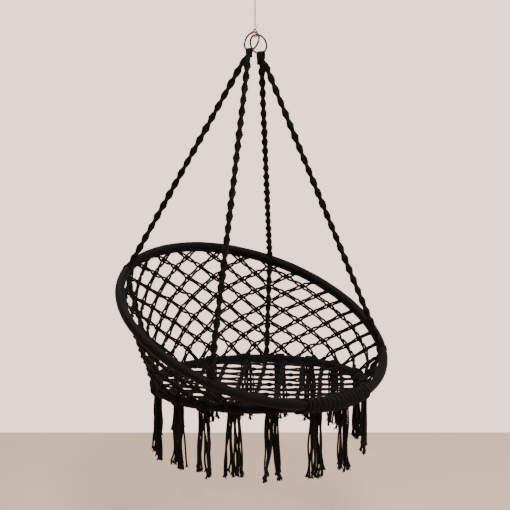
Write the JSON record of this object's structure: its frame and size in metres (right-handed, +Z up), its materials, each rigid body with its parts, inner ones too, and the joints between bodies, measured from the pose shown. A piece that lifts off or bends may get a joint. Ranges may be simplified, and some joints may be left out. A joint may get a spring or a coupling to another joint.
{
  "type": "hanging hoop chair",
  "caption": "Macrame hoop swing seat hung from a line: a tilted big hoop lashed at the front to a level seat hoop, with rope stays, a knotted net back and seat, and a fringe of tassels.",
  "frame": {"origin": "where a hook bears inside the loop at the top of the hanging line", "axes": "+Z up, the low open front of the seat faces -Y, +X to the sitter's left as seen by the sitter facing -Y"},
  "size_m": [0.8, 0.723, 1.2787],
  "materials": {
    "line_cotton": "twisted natural cotton line",
    "ring_steel": "bright nickel-plated wire",
    "rope_cotton": "black twisted cotton cord knotted into a spiral",
    "hoop_steel": "powder coated steel tube",
    "sleeve_fabric": "tight black woven sleeve",
    "wrap_cotton": "black cotton cord wound and hitched",
    "net_cotton": "black cotton cord, double strands and square knots",
    "tassel_cotton": "loose black cotton cords with frayed ends"
  },
  "bodies": {
    "hook_loop": {"line_top_loop": "line_cotton"},
    "line": {"hanging_line": "line_cotton"},
    "knot": {"line_knot": "line_cotton"},
    "frame": {"back_net": "net_cotton", "front_lashing": "wrap_cotton", "ring_left": "ring_steel", "ring_right": "ring_steel", "rope_back_left": "rope_cotton", "rope_back_right": "rope_cotton", "rope_collar_left": "rope_cotton", "rope_collar_right": "rope_cotton", "rope_front_left": "rope_cotton", "rope_front_right": "rope_cotton", "rope_tail_left": "rope_cotton", "rope_tail_right": "rope_cotton", "upper_hoop_sleeve": "sleeve_fabric", "upper_hoop_tube": "hoop_steel"},
    "seat": {"lower_hoop_tube": "hoop_steel", "lower_hoop_wrap": "wrap_cotton", "seat_net": "net_cotton", "tassel_01": "tassel_cotton", "tassel_02": "tassel_cotton", "tassel_03": "tassel_cotton", "tassel_04": "tassel_cotton", "tassel_05": "tassel_cotton", "tassel_06": "tassel_cotton", "tassel_07": "tassel_cotton", "tassel_08": "tassel_cotton", "tassel_09": "tassel_cotton", "tassel_10": "tassel_cotton", "tassel_11": "tassel_cotton", "tassel_12": "tassel_cotton", "tassel_13": "tassel_cotton", "tassel_14": "tassel_cotton", "tassel_15": "tassel_cotton", "tassel_16": "tassel_cotton"}
  },
  "joints": [
    {"name": "fore_aft_swing", "type": "hinge", "parent": "hook_loop", "child": "line", "pos_m": [0, 0, -0.0232], "axis": [1, 0, 0], "range_deg": [-25, 25]},
    {"name": "line_swivel", "type": "hinge", "parent": "line", "child": "knot", "pos_m": [0, 0, -0.1], "axis": [0, 0, 1], "continuous": true},
    {"name": "side_swing", "type": "hinge", "parent": "knot", "child": "frame", "pos_m": [0, 0, -0.1185], "axis": [0, 1, 0], "range_deg": [-25, 25]},
    {"name": "seat_fold", "type": "hinge", "parent": "frame", "child": "seat", "pos_m": [0, -0.34034, -1.08468], "axis": [1, 0, 0], "range_deg": [0, 24], "deforming": ["back_net", "rope_tail_left", "rope_tail_right", "front_lashing"]}
  ]
}
